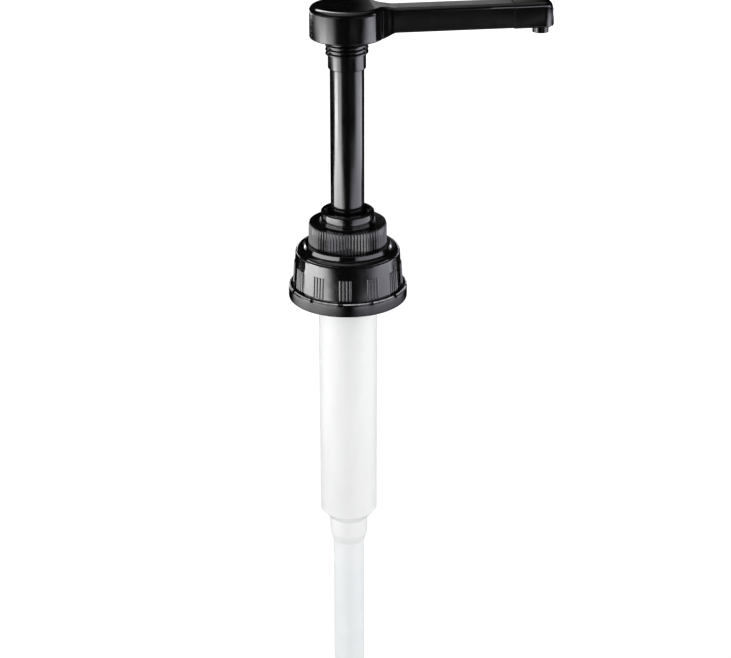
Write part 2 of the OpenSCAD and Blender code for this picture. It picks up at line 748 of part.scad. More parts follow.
module pump_head() {
    pocket_in_r = plug_r + disc_wall;
    pocket_out_r = disc_r - disc_wall;
    plug_edge = 0.3;
    color(black) difference() {
        union() {
            lofted(head_outline,
                [for (p = head_outline) ramp_floor(p[0])],
                [for (p = head_outline) head_top_z - arm_drop * to_arm(p[0])],
                [for (p = head_outline) [1, 1] * (head_round + (arm_round - head_round) * to_arm(p[0]))]);
            revolve([[0, plug_z], [plug_r - plug_edge, plug_z], [plug_r, plug_z + plug_edge],
                [plug_r, head_z + 1], [0, head_z + 1]]);
            along_x(tip_spigot_r, arm_len - 1, arm_len + tip_spigot);
        }
        translate([0, 0, plug_z - 1]) cylinder(r = spigot_r + press_gap, h = socket_roof_z - plug_z + 1);
        translate([0, 0, head_z]) cylinder(r = stem_bore_r, h = flow_z - head_z + arm_bore_r);
        along_x(arm_bore_r, 0, arm_len + tip_spigot + 1);
        difference() {
            ring(pocket_in_r, pocket_out_r, head_z - 1, head_z + pocket_depth);
            translate([0, -arm_half, head_z - 2]) cube([disc_d, arm_w, head_h]);
        }
    }
}

// Spout tip: a rounded end cap pushed onto the arm's spigot, with the outlet under it
tip_half = arm_half + tip_step;
outlet_x = arm_len + tip_reach;
tip_z = arm_z - tip_step;
tip_outline = concat(
    [[arm_len + press_gap, tip_half, 0, 1]],
    [for (i = [0 : 16]) let (a = 90 - 87 * i / 16, n = [cos(a) / tip_nose, sin(a) / tip_half])
        [outlet_x + tip_nose * cos(a), tip_half * sin(a), n[0] / norm(n), n[1] / norm(n)]]);

module spout_tip() {
    color(black) difference() {
        union() {
            lofted(tip_outline,
                [for (p = tip_outline) tip_z],
                [for (p = tip_outline) arm_top_z + tip_step],
                [for (p = tip_outline) let (t = p[2] * p[2])
                    [1, 1] * (arm_round + tip_step) * (1 - t) + [nose_slope, nose_fall] * t]);
            translate([outlet_x, 0, tip_z - stub_len]) cylinder(d = stub_d, h = stub_len + 1);
        }
        along_x(tip_spigot_r + press_gap, arm_len - 1, arm_len + tip_spigot + press_gap);
        along_x(arm_bore_r, arm_len, outlet_x + outlet_d / 2);
        translate([outlet_x, 0, tip_z - stub_len - 1]) cylinder(d = outlet_d, h = flow_z - tip_z + stub_len + 1);
    }
}

pump_cylinder();
dip_tube();
inlet_cage();
inlet_ball();
return_spring();
neck_gasket();
screw_closure();
lock_collar();
collar_seal();
stem_guide();
stem_wiper();
piston_seal();
thrust_washer();
piston_foot();
outlet_ball();
outlet_stop();
pump_stem();
stem_seal();
pump_head();
spout_tip();
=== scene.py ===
"""Dresses a hand-pressed puree pump: black mouldings, milky cylinder, frosted dip tube, threads, spring
and a white studio."""
import math

import bmesh
import bpy
from bpy.props import FloatProperty, FloatVectorProperty, IntProperty, PointerProperty
from mathutils import Matrix, Vector


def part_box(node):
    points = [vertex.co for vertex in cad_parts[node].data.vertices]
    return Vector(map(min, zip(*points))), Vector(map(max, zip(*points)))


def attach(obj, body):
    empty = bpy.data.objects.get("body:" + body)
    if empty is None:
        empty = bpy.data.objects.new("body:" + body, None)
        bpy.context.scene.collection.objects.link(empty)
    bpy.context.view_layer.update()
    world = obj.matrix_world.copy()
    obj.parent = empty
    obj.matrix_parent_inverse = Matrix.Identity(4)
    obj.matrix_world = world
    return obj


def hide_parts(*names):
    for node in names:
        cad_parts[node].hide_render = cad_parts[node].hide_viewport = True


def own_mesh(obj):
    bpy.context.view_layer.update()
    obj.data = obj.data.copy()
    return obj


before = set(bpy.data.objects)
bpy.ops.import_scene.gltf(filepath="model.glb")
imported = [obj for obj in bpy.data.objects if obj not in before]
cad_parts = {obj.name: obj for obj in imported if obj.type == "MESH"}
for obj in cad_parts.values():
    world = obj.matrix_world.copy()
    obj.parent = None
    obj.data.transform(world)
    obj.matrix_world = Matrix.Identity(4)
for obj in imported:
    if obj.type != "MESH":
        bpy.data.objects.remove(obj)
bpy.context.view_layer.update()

bl_info = {
    "name": "Puree Pump Dresser",
    "version": (1, 0, 0),
    "blender": (4, 5, 0),
    "location": "3D View > Sidebar > Pump",
    "description": "Gives the packed puree pump its finishes, threads, spring and studio",
    "category": "Object",
}

MM = 0.001
PHOTO = (731, 658)
WHITE = (1.0, 1.0, 1.0, 1.0)
# numbers of the sockets that a Mix node uses for colours
MIX_SHARE, MIX_FIRST, MIX_SECOND, MIX_RESULT = 0, 6, 7, 2
# what a reflector's fade is measured along: metres to the camera's right, metres towards the camera,
# degrees round from the camera
ACROSS, TOWARD, AROUND = 0, 1, 2
# how deep the foot of a thread or of the painted highlight line is sunk in the wall that carries it
SUNK = 0.1 * MM
# steps in one turn of a thread
THREAD_STEPS = 72
# share of its height that a thread keeps at its very ends, so that it is nowhere quite flat
LEAST_RIDGE = 0.02


def linear(text):
    """An sRGB hex colour as linear RGBA."""
    parts = [int(text[i:i + 2], 16) / 255 for i in (1, 3, 5)]
    return tuple(c / 12.92 if c <= 0.04045 else ((c + 0.055) / 1.055) ** 2.4 for c in parts) + (1.0,)


def per_mm(size):
    """The texture scale, in Object coordinates, at which one grain measures size millimetres."""
    return 1000.0 / size


def add(tree, kind, inputs=None, **settings):
    """Adds a shader node: settings are its own options, inputs are values or the sockets to link."""
    made = tree.nodes.new("ShaderNode" + kind)
    for key, value in settings.items():
        setattr(made, key, value)
    for key, value in (inputs or {}).items():
        if isinstance(value, bpy.types.NodeSocket):
            tree.links.new(value, made.inputs[key])
        else:
            made.inputs[key].default_value = value
    return made


def blank_material(name):
    """An empty material and its node tree."""
    made = bpy.data.materials.new(name)
    made.use_nodes = True
    made.node_tree.nodes.clear()
    return made, made.node_tree


# corners of the nodes that the threads, the painted highlight line, the spring and the floor are measured
# from
high_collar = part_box("lock_collar")[1]
low_closure, high_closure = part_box("screw_closure")
low_spring, high_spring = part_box("return_spring")
low_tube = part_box("dip_tube")[0]


# sizes and colours that a user would change

class PumpThreads(bpy.types.PropertyGroup):
    """Sizes of the threads on walls that the solids leave plain."""
    lock_pitch: FloatProperty(name="Lock pitch", description="Rise of the lock thread in one turn",
                              default=1.57 * MM, min=MM, max=3 * MM, unit="LENGTH")
    lock_turns: FloatProperty(name="Lock turns", description="Turns of thread on the head's plug",
                              default=4.1, min=1, max=8)
    lock_crest: FloatProperty(name="Lock crest", description="Radius over the plug's thread",
                              default=8.15 * MM, min=7.3 * MM, max=8.4 * MM, unit="LENGTH")
    plug_radius: FloatProperty(name="Plug radius", description="Radius of the plain plug under the head",
                               default=7.25 * MM, min=6 * MM, max=8 * MM, unit="LENGTH")
    boss_bore: FloatProperty(name="Boss bore", description="Radius of the collar's plain bore",
                             default=8.45 * MM, min=7 * MM, max=9 * MM, unit="LENGTH")
    neck_bore: FloatProperty(name="Neck bore", description="Radius of the closure's plain bore",
                             default=18.95 * MM, min=15 * MM, max=25 * MM, unit="LENGTH")
    neck_pitch: FloatProperty(name="Neck pitch", description="Rise of the bottle thread in one turn",
                              default=4.23 * MM, min=2 * MM, max=8 * MM, unit="LENGTH")
    neck_turns: FloatProperty(name="Neck turns", description="Turns of bottle thread in the closure",
                              default=1.5, min=1, max=3)
    neck_depth: FloatProperty(name="Neck depth",
                              description="How far the bottle thread stands in from the bore",
                              default=1.1 * MM, min=0.4 * MM, max=2 * MM, unit="LENGTH")


class PumpFlange(bpy.types.PropertyGroup):
    """Sizes of the closure's foot flange, for the painted highlight line on its edge."""
    top: FloatProperty(name="Flange top", description="Height of the flange's top face",
                       default=-9.8 * MM, min=-20 * MM, max=0, unit="LENGTH")
    round: FloatProperty(name="Edge round", description="Round of the flange's upper edge",
                         default=0.9 * MM, min=0.2 * MM, max=2 * MM, unit="LENGTH")
    notches: IntProperty(name="Notches", description="Notches round the edge", default=12, min=3, max=24)
    notch_width: FloatProperty(name="Notch width", description="Width of one notch",
                               default=1.7 * MM, min=0.5 * MM, max=4 * MM, unit="LENGTH")
    notch_phase: FloatProperty(name="Notch phase", description="Turn of the first notch",
                               default=math.radians(14.7), subtype="ANGLE")
    # width of the pale line painted on the flange's edge as a highlight
    flash: FloatProperty(name="Highlight width", description="Width of the pale line",
                         default=0.5 * MM, min=0.1 * MM, max=1 * MM, unit="LENGTH")


class PumpSpring(bpy.types.PropertyGroup):
    """Sizes of the return spring."""
    radius: FloatProperty(name="Coil radius", description="Radius of the wire's centre line",
                          default=8.4 * MM, min=5 * MM, max=12 * MM, unit="LENGTH")
    wire: FloatProperty(name="Wire", description="Thickness of the wire",
                        default=1.4 * MM, min=0.5 * MM, max=3 * MM, unit="LENGTH")
    turns: IntProperty(name="Turns", description="Turns of wire, with one closed turn at each end",
                       default=13, min=4, max=40)
    kept: FloatProperty(name="Kept length",
                        description="Share of its length that the spring keeps at full stroke",
                        default=0.2795, min=0.1, max=1.0, subtype="FACTOR")


class PumpFinish(bpy.types.PropertyGroup):
    """Colours of the pump's materials."""
    black: FloatVectorProperty(name="Black plastic", description="Colour of the black mouldings",
                               subtype="COLOR", size=4, default=linear("#09090A"), min=0, max=1)
    milky: FloatVectorProperty(name="Milky plastic", description="Colour of the pump cylinder",
                               subtype="COLOR", size=4, default=linear("#EFF0EF"), min=0, max=1)
    frosted: FloatVectorProperty(name="Frosted plastic", description="Colour of the dip tube",
                                 subtype="COLOR", size=4, default=linear("#F3F5F6"), min=0, max=1)
    rubber: FloatVectorProperty(name="Seal rubber", description="Colour of the seals",
                                subtype="COLOR", size=4, default=linear("#54565A"), min=0, max=1)
    steel: FloatVectorProperty(name="Steel", description="Colour of the spring, washer and balls",
                               subtype="COLOR", size=4, default=linear("#CDCFD1"), min=0, max=1)


class PumpStudio(bpy.types.PropertyGroup):
    """Camera, floor and room light."""
    reach: FloatProperty(name="Camera reach",
                         description="Level distance from the pump's axis to the camera",
                         default=650.0 * MM, min=0.1, max=3, unit="LENGTH")
    height: FloatProperty(name="Camera height", description="Camera height above the bottle's rim",
                          default=260.8 * MM, min=-1, max=2, unit="LENGTH")
    bearing: FloatProperty(name="Bearing",
                           description="How far the camera stands round towards the tail of the head",
                           default=math.radians(8.28), subtype="ANGLE")
    aside: FloatProperty(name="Aside", description="How far the camera looks to the right of the axis",
                         default=math.radians(0.615), subtype="ANGLE")
    tilt: FloatProperty(name="Tilt", description="How far the camera looks down",
                        default=math.radians(23.19), subtype="ANGLE")
    focal_px: FloatProperty(name="Focal length in pixels",
                            description="Focal length over the photograph's pixel size",
                            default=1779.0, min=200, max=8000, subtype="PIXEL")
    centre_y: FloatProperty(name="Optical centre",
                            description="Row of the photograph that the lens points at",
                            default=300.0, subtype="PIXEL")
    floor: FloatVectorProperty(name="Floor", description="Colour of the floor",
                               subtype="COLOR", size=4, default=linear("#F2F2F2"), min=0, max=1)
    floor_glow: FloatProperty(name="Floor lift",
                              description="Share of white that the floor shows by itself near the pump",
                              default=0.30, min=0, max=1, subtype="FACTOR")
    far_glow: FloatProperty(name="Far lift",
                            description="Share of white that the floor shows by itself far behind the pump",
                            default=0.75, min=0, max=1, subtype="FACTOR")
    room: FloatProperty(name="Room light", description="Strength of the light from all round",
                        default=0.60, min=0, max=2)


# materials

def moulded_black_polypropylene(colour):
    """Polypropylene pressed against polished steel: a deep black that mirrors the studio in long strips,
    their edges a little wavy from shrinkage, and dulled in patches where hands have rubbed it."""
    made, tree = blank_material("moulded_black_polypropylene")
    place = add(tree, "TexCoord").outputs["Object"]
    shrink = add(tree, "TexNoise", {"Vector": place, "Scale": per_mm(6.0), "Detail": 1.0, "Roughness": 0.4})
    rubbed = add(tree, "TexNoise", {"Vector": place, "Scale": per_mm(14.0), "Detail": 4.0,
                                    "Roughness": 0.62})
    # tool marks are finer than a pixel, so they are drawn at 0.45 mm
    grain = add(tree, "TexNoise", {"Vector": place, "Scale": per_mm(0.45), "Detail": 2.0, "Roughness": 0.5})
    dull = add(tree, "MapRange", {"Value": rubbed.outputs[0], "From Min": 0.38, "From Max": 0.68,
                                  "To Min": 0.085, "To Max": 0.15})
    rough = add(tree, "MapRange", {"Value": grain.outputs[0], "From Min": 0.3, "From Max": 0.7,
                                   "To Min": -0.025, "To Max": 0.025})
    both = add(tree, "Math", {0: dull.outputs[0], 1: rough.outputs[0]}, operation="ADD")
    edges = add(tree, "Bevel", {"Radius": 0.12 * MM}, samples=4)
    waves = add(tree, "Bump", {"Height": shrink.outputs[0], "Strength": 0.25, "Distance": 0.03 * MM,
                               "Normal": edges.outputs[0]})
    skin = add(tree, "Bump", {"Height": grain.outputs[0], "Strength": 0.12, "Distance": 0.004 * MM,
                              "Normal": waves.outputs[0]})
    shader = add(tree, "BsdfPrincipled", {"Base Color": colour, "Roughness": both.outputs[0], "IOR": 1.49,
                                          "Normal": skin.outputs[0]})
    add(tree, "OutputMaterial", {"Surface": shader.outputs[0]})
    return made


def whitened_polypropylene_flash():
    """A painted highlight: a dull pale grey line, patchily lighter and darker, that lies on the flange's edge
    where a glint of light would be and shows from every side.
    """
    made, tree = blank_material("whitened_polypropylene_flash")
    place = add(tree, "TexCoord").outputs["Object"]
    patchy_highlight = add(tree, "TexNoise", {"Vector": place, "Scale": per_mm(2.5), "Detail": 3.0, "Roughness": 0.6})
    share = add(tree, "MapRange", {"Value": patchy_highlight.outputs[0], "From Min": 0.35, "From Max": 0.65})
    # the line's two greys are a painted highlight, mixed at random
    tone = add(tree, "Mix", {MIX_SHARE: share.outputs[0], MIX_FIRST: linear("#8E8E92"),
                             MIX_SECOND: linear("#C4C4C8")}, data_type="RGBA")
    shader = add(tree, "BsdfPrincipled", {"Base Color": tone.outputs[MIX_RESULT], "Roughness": 0.5,
                                          "IOR": 1.49})
    add(tree, "OutputMaterial", {"Surface": shader.outputs[0]})
    return made


def moulded_milky_polypropylene(colour):
    """Unpigmented polypropylene: a soft white that light sinks into, cloudy where the melt flowed,
    with a satin skin."""
    made, tree = blank_material("moulded_milky_polypropylene")
    place = add(tree, "TexCoord").outputs["Object"]
    stretch = add(tree, "Mapping", {"Vector": place, "Scale": (1.0, 1.0, 0.3)})
    flow = add(tree, "TexNoise", {"Vector": stretch.outputs[0], "Scale": per_mm(9.0), "Detail": 3.0,
                                  "Roughness": 0.55})
    skin = add(tree, "TexNoise", {"Vector": place, "Scale": per_mm(0.5), "Detail": 2.0, "Roughness": 0.5})
    cloud = add(tree, "MapRange", {"Value": flow.outputs[0], "From Min": 0.35, "From Max": 0.65})
    thick = tuple(c * 0.955 for c in colour[:3]) + (1.0,)
    tone = add(tree, "Mix", {MIX_SHARE: cloud.outputs[0], MIX_FIRST: colour, MIX_SECOND: thick},
               data_type="RGBA")
    satin = add(tree, "MapRange", {"Value": skin.outputs[0], "From Min": 0.3, "From Max": 0.7,
                                   "To Min": 0.34, "To Max": 0.44})
    bump = add(tree, "Bump", {"Height": skin.outputs[0], "Strength": 0.15, "Distance": 0.01 * MM})
    shader = add(tree, "BsdfPrincipled", {
        "Base Color": tone.outputs[MIX_RESULT], "Roughness": satin.outputs[0], "IOR": 1.49,
        "Normal": bump.outputs[0], "Subsurface Weight": 0.3, "Subsurface Radius": (1.0, 0.95, 0.9),
        "Subsurface Scale": 1.5 * MM})
    add(tree, "OutputMaterial", {"Surface": shader.outputs[0]})
    return made


def extruded_frosted_polyethylene(colour):
    """Polyethylene drawn through a die: a cool, waxy half-clear tube with faint lines along its length."""
    made, tree = blank_material("extruded_frosted_polyethylene")
    place = add(tree, "TexCoord").outputs["Object"]
    drawn = add(tree, "Mapping", {"Vector": place, "Scale": (1.0, 1.0, 0.02)})
    # die lines are about 0.1 mm apart, drawn at 0.6 mm so that they show
    lines = add(tree, "TexNoise", {"Vector": drawn.outputs[0], "Scale": per_mm(0.6), "Detail": 2.0,
                                   "Roughness": 0.5})
    cloud = add(tree, "TexNoise", {"Vector": place, "Scale": per_mm(11.0), "Detail": 2.0, "Roughness": 0.5})
    mist = add(tree, "MapRange", {"Value": cloud.outputs[0], "From Min": 0.35, "From Max": 0.65})
    deep = (colour[0] * 0.955, colour[1] * 0.97, colour[2] * 0.975, 1.0)
    tone = add(tree, "Mix", {MIX_SHARE: mist.outputs[0], MIX_FIRST: colour, MIX_SECOND: deep},
               data_type="RGBA")
    wax = add(tree, "MapRange", {"Value": lines.outputs[0], "From Min": 0.3, "From Max": 0.7,
                                 "To Min": 0.36, "To Max": 0.5})
    bump = add(tree, "Bump", {"Height": lines.outputs[0], "Strength": 0.2, "Distance": 0.015 * MM})
    shader = add(tree, "BsdfPrincipled", {
        "Base Color": tone.outputs[MIX_RESULT], "Roughness": wax.outputs[0], "IOR": 1.51,
        "Normal": bump.outputs[0], "Transmission Weight": 0.06, "Subsurface Weight": 0.2,
        "Subsurface Radius": (0.9, 1.0, 1.0), "Subsurface Scale": 0.6 * MM})
    add(tree, "OutputMaterial", {"Surface": shader.outputs[0]})
    return made


def moulded_seal_rubber(colour):
    """Moulded sealing rubber: matt, a little dusty, with the fine tooth of a blasted mould."""
    made, tree = blank_material("moulded_seal_rubber")
    place = add(tree, "TexCoord").outputs["Object"]
    tooth = add(tree, "TexNoise", {"Vector": place, "Scale": per_mm(0.4), "Detail": 3.0, "Roughness": 0.6})
    bloom = add(tree, "TexNoise", {"Vector": place, "Scale": per_mm(5.0), "Detail": 3.0, "Roughness": 0.6})
    dust = tuple(min(1.0, c * 1.35 + 0.01) for c in colour[:3]) + (1.0,)
    tone = add(tree, "Mix", {MIX_SHARE: bloom.outputs[0], MIX_FIRST: colour, MIX_SECOND: dust},
               data_type="RGBA")
    matt = add(tree, "MapRange", {"Value": tooth.outputs[0], "From Min": 0.3, "From Max": 0.7,
                                  "To Min": 0.6, "To Max": 0.78})
    bump = add(tree, "Bump", {"Height": tooth.outputs[0], "Strength": 0.3, "Distance": 0.02 * MM})
    shader = add(tree, "BsdfPrincipled", {"Base Color": tone.outputs[MIX_RESULT], "IOR": 1.52,
                                          "Roughness": matt.outputs[0], "Normal": bump.outputs[0]})
    add(tree, "OutputMaterial", {"Surface": shader.outputs[0]})
    return made


def drawn_stainless_steel(colour):
    """Stainless steel drawn to wire or ground to balls: bright grey with fine marks that soften its
    reflections."""
    made, tree = blank_material("drawn_stainless_steel")
    place = add(tree, "TexCoord").outputs["Object"]
    marks = add(tree, "TexNoise", {"Vector": place, "Scale": per_mm(0.35), "Detail": 3.0, "Roughness": 0.6})
    stain = add(tree, "TexNoise", {"Vector": place, "Scale": per_mm(4.0), "Detail": 2.0, "Roughness": 0.5})
    shade = tuple(c * 0.88 for c in colour[:3]) + (1.0,)
    tone = add(tree, "Mix", {MIX_SHARE: stain.outputs[0], MIX_FIRST: colour, MIX_SECOND: shade},
               data_type="RGBA")
    ground = add(tree, "MapRange", {"Value": marks.outputs[0], "From Min": 0.3, "From Max": 0.7,
                                    "To Min": 0.2, "To Max": 0.34})
    bump = add(tree, "Bump", {"Height": marks.outputs[0], "Strength": 0.15, "Distance": 0.006 * MM})
    shader = add(tree, "BsdfPrincipled", {"Base Color": tone.outputs[MIX_RESULT], "Metallic": 1.0,
                                          "Roughness": ground.outputs[0], "Normal": bump.outputs[0]})
    add(tree, "OutputMaterial", {"Surface": shader.outputs[0]})
    return made


def shown_white(tree):
    """1 for the rays that show the white background: the camera's, and those mirrored or sent through."""
    path = add(tree, "LightPath")
    seen = add(tree, "Math", {0: path.outputs["Is Camera Ray"], 1: path.outputs["Is Glossy Ray"]},
               operation="MAXIMUM")
    shown = add(tree, "Math", {0: seen.outputs[0], 1: path.outputs["Is Transmission Ray"]},
                operation="MAXIMUM")
    return shown.outputs[0]


def studio_white(colour, near, far):
    """White paper that keeps the pump's shadow, lifted towards the background's white away from the lamps."""
    made, tree = blank_material("studio_white")
    place = add(tree, "TexCoord").outputs["Object"]
    away = add(tree, "VectorMath", {0: place}, operation="LENGTH")
    lift = add(tree, "MapRange", {"Value": away.outputs["Value"], "From Min": 0.25, "From Max": 1.2,
                                  "To Min": near, "To Max": far})
    strength = add(tree, "Math", {0: shown_white(tree), 1: lift.outputs[0]}, operation="MULTIPLY")
    paper = add(tree, "BsdfDiffuse", {"Color": colour})
    glow = add(tree, "Emission", {"Color": WHITE, "Strength": strength.outputs[0]})
    both = add(tree, "AddShader", {0: paper.outputs[0], 1: glow.outputs[0]})
    add(tree, "OutputMaterial", {"Surface": both.outputs[0]})
    return made


def reflector_cloth(name, colour, strength, fades, bearing):
    """Lit cloth of a reflector. Each fade (measure, none, full) softens its image along ACROSS, TOWARD
    or AROUND, from no light to all of it."""
    made, tree = blank_material(name)
    place = add(tree, "TexCoord").outputs["Object"]
    turned = add(tree, "Mapping", {"Vector": place, "Rotation": (0.0, 0.0, bearing)})
    across = add(tree, "SeparateXYZ", {0: turned.outputs[0]})
    toward = add(tree, "Math", {0: across.outputs[1], 1: -1.0}, operation="MULTIPLY")
    around = add(tree, "Math", {0: across.outputs[0], 1: toward.outputs[0]}, operation="ARCTAN2")
    degrees = add(tree, "Math", {0: around.outputs[0], 1: 180.0 / math.pi}, operation="MULTIPLY")
    measures = {ACROSS: across.outputs[0], TOWARD: toward.outputs[0], AROUND: degrees.outputs[0]}
    level = strength
    for measure, none, full in fades:
        fade = add(tree, "MapRange", {"Value": measures[measure], "From Min": none, "From Max": full},
                   interpolation_type="SMOOTHSTEP")
        level = add(tree, "Math", {0: fade.outputs[0], 1: level}, operation="MULTIPLY").outputs[0]
    glow = add(tree, "Emission", {"Color": colour, "Strength": level})
    add(tree, "OutputMaterial", {"Surface": glow.outputs[0]})
    return made


def black_felt():
    """Felt of the tent that keeps the black plastic black: it gives nothing back."""
    made, tree = blank_material("black_felt")
    felt = add(tree, "BsdfDiffuse", {"Color": (0.0, 0.0, 0.0, 1.0)})
    add(tree, "OutputMaterial", {"Surface": felt.outputs[0]})
    return made


MAKERS = {
    "black": moulded_black_polypropylene,
    # a pale line painted on the flange's edge as a highlight
    "flash": whitened_polypropylene_flash,
    "milky": moulded_milky_polypropylene,
    "frosted": extruded_frosted_polyethylene,
    "rubber": moulded_seal_rubber,
    "steel": drawn_stainless_steel,
}


def finish(kind):
    """The material of that kind, made once: the painted highlight line in its own greys, others in the
    panel's colours.
    """
    maker = MAKERS[kind]
    made = bpy.data.materials.get(maker.__name__)
    if made:
        return made
    if kind == "flash":
        return maker()
    return maker(tuple(getattr(bpy.context.scene.pump_finish, kind)))


# pieces

def dress(nodes, kind):
    """Gives CAD nodes their real material through their slots."""
    for name in nodes:
        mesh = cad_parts[name].data
        mesh.materials.clear()
        mesh.materials.append(finish(kind))


def mesh_object(name, bm, material):
    """A finished bmesh as a named object of the scene."""
    mesh = bpy.data.meshes.new(name)
    bm.to_mesh(mesh)
    bm.free()
    mesh.materials.append(material)
    made = bpy.data.objects.new(name, mesh)
    bpy.context.scene.collection.objects.link(made)
    return made


def new_piece(name, bm, body, kind):
    """A finished bmesh as a named piece that rides on a body."""
    piece = mesh_object(name, bm, finish(kind))
    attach(piece, body)
    return piece


def soften(bm, angle):
    """Smooth shading, with edges sharper than angle degrees kept crisp."""
    for face in bm.faces:
        face.smooth = True
    for edge in bm.edges:
        edge.smooth = len(edge.link_faces) == 2 and edge.calc_face_angle(0.0) < math.radians(angle)


def outline(bm, points):
    """Vertices at those points, and the edges that join them in a closed ring."""
    corners = [bm.verts.new(point) for point in points]
    return corners + [bm.edges.new(pair) for pair in zip(corners, corners[1:] + corners[:1])]


def close_ends(bm, sides):
    """Fills the open ends, each of that many sides, or of any number where sides is 0."""
    bmesh.ops.holes_fill(bm, edges=[edge for edge in bm.edges if edge.is_boundary], sides=sides)


def thread_ridge(root, crest, pitch, start, turns, root_width, crest_width, fade=0.3):
    """A right-handed thread, its profile spun up the axis. Both ends sink into the wall over fade turns."""
    bm = bmesh.new()
    corners = ((root, -root_width / 2), (crest, -crest_width / 2),
               (crest, crest_width / 2), (root, root_width / 2))
    profile = outline(bm, [(r, 0, start + z) for r, z in corners])
    steps = round(THREAD_STEPS * turns)
    bmesh.ops.spin(bm, geom=profile, cent=(0, 0, 0), axis=(0, 0, 1), dvec=(0, 0, pitch / THREAD_STEPS),
                   angle=math.tau * steps / THREAD_STEPS, steps=steps, use_merge=False, use_duplicate=False)
    close_ends(bm, sides=len(corners))
    bm.verts.ensure_lookup_table()
    for i, vert in enumerate(bm.verts):
        ring = i // len(corners)
        share = min(1.0, ring / (fade * THREAD_STEPS), (steps - ring) / (fade * THREAD_STEPS))
        level = Vector((vert.co.x, vert.co.y, 0))
        wanted = root + (level.length - root) * max(share, LEAST_RIDGE)
        vert.co.xy = level.xy * (wanted / level.length)
    bmesh.ops.recalc_face_normals(bm, faces=bm.faces)
    soften(bm, angle=30)
    return bm


def smooth_copy(node, body, kind):
    """A merged copy of a CAD node, shaded smooth over its small facets, that stands for it."""
    bm = bmesh.new()
    bm.from_mesh(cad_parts[node].data)
    bmesh.ops.remove_doubles(bm, verts=bm.verts, dist=0.002 * MM)
    soften(bm, angle=32)
    piece = new_piece(node + "_moulding", bm, body, kind)
    even = piece.modifiers.new("even_shading", "WEIGHTED_NORMAL")
    even.weight = 80
    even.keep_sharp = True
    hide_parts(node)
    return piece


class PUMP_OT_black_mouldings(bpy.types.Operator):
    """Head, spout tip, stem, collar, closure and piston foot in glossy black plastic"""
    bl_idname = "pump.black_mouldings"
    bl_label = "Black mouldings"

    def execute(self, context):
        dress(("pump_stem", "piston_foot"), "black")
        for node, body in (("pump_head", "plunger"), ("spout_tip", "plunger"),
                           ("lock_collar", "housing"), ("screw_closure", "closure")):
            smooth_copy(node, body, "black")
        return {"FINISHED"}


class PUMP_OT_lock_threads(bpy.types.Operator):
    """Lock thread on the plug under the head, and the one in the collar's boss that takes it"""
    bl_idname = "pump.lock_threads"
    bl_label = "Lock threads"

    def execute(self, context):
        sizes = context.scene.pump_threads
        crest_width = 0.4 * MM

        disc_underside = 89.4 * MM
        below_disc = 0.5 * MM
        plug_root_width = 1.35 * MM
        start = disc_underside - below_disc - sizes.lock_pitch * sizes.lock_turns
        ridge = thread_ridge(sizes.plug_radius - SUNK, sizes.lock_crest, sizes.lock_pitch, start,
                             sizes.lock_turns, plug_root_width, crest_width)
        new_piece("plug_lock_thread", ridge, "plunger", "black")

        below_boss_top = 1.6 * MM
        boss_turns = 3.0
        boss_root_width = 1.3 * MM
        crest_clearance = 0.35 * MM
        start = high_collar.z - below_boss_top - sizes.lock_pitch * boss_turns
        ridge = thread_ridge(sizes.boss_bore + SUNK, sizes.plug_radius + crest_clearance, sizes.lock_pitch,
                             start, boss_turns, boss_root_width, crest_width)
        new_piece("boss_lock_thread", ridge, "housing", "black")
        return {"FINISHED"}


class PUMP_OT_neck_thread(bpy.types.Operator):
    """Bottle thread inside the closure"""
    bl_idname = "pump.neck_thread"
    bl_label = "Neck thread"

    def execute(self, context):
        sizes = context.scene.pump_threads
        above_foot = 3.4 * MM
        root_width = 2.4 * MM
        crest_width = 0.9 * MM
        start = low_closure.z + above_foot
        ridge = thread_ridge(sizes.neck_bore + SUNK, sizes.neck_bore - sizes.neck_depth, sizes.neck_pitch,
                             start, sizes.neck_turns, root_width, crest_width, fade=0.12)
        new_piece("closure_neck_thread", ridge, "closure", "black")
        return {"FINISHED"}


class PUMP_OT_flange_flash(bpy.types.Operator):
    """Painted highlight: a thin pale line along the flange's upper edge, broken at its notches"""
    bl_idname = "pump.flange_flash"
    bl_label = "Flange flash"

    def execute(self, context):
        sizes = context.scene.pump_flange
        span = math.tau / sizes.notches
        clear_of_notch = 0.15 * MM
        gap = (sizes.notch_width / 2 + clear_of_notch) / high_closure.x
        # the painted highlight line lies on the round of the edge, where that slopes by 30 degrees
        tilt = math.radians(30)
        slope = Vector((math.cos(tilt), 0, -math.sin(tilt)))
        up = Vector((math.sin(tilt), 0, math.cos(tilt)))
        seat = Vector((high_closure.x - sizes.round, 0, sizes.top - sizes.round)) + up * sizes.round
        proud = 0.04 * MM
        section = ((-1, -SUNK), (1, -SUNK), (1, proud), (-1, proud))
        bm = bmesh.new()
        for i in range(sizes.notches):
            start = Matrix.Rotation(sizes.notch_phase + i * span + gap, 4, "Z")
            profile = outline(bm, [start @ (seat + slope * side * sizes.flash / 2 + up * height)
                                   for side, height in section])
            bmesh.ops.spin(bm, geom=profile, cent=(0, 0, 0), axis=(0, 0, 1), angle=span - 2 * gap, steps=16)
        close_ends(bm, sides=len(section))
        bmesh.ops.recalc_face_normals(bm, faces=bm.faces)
        soften(bm, angle=30)
        # the pale line is a highlight painted on the flange's edge
        new_piece("flange_flash", bm, "closure", "flash")
        return {"FINISHED"}


class PUMP_OT_milky_mouldings(bpy.types.Operator):
    """Pump cylinder, inlet cage, stem guide and ball stop in milky plastic"""
    bl_idname = "pump.milky_mouldings"
    bl_label = "Milky mouldings"

    def execute(self, context):
        dress(("pump_cylinder", "inlet_cage", "stem_guide", "outlet_stop"), "milky")
        return {"FINISHED"}


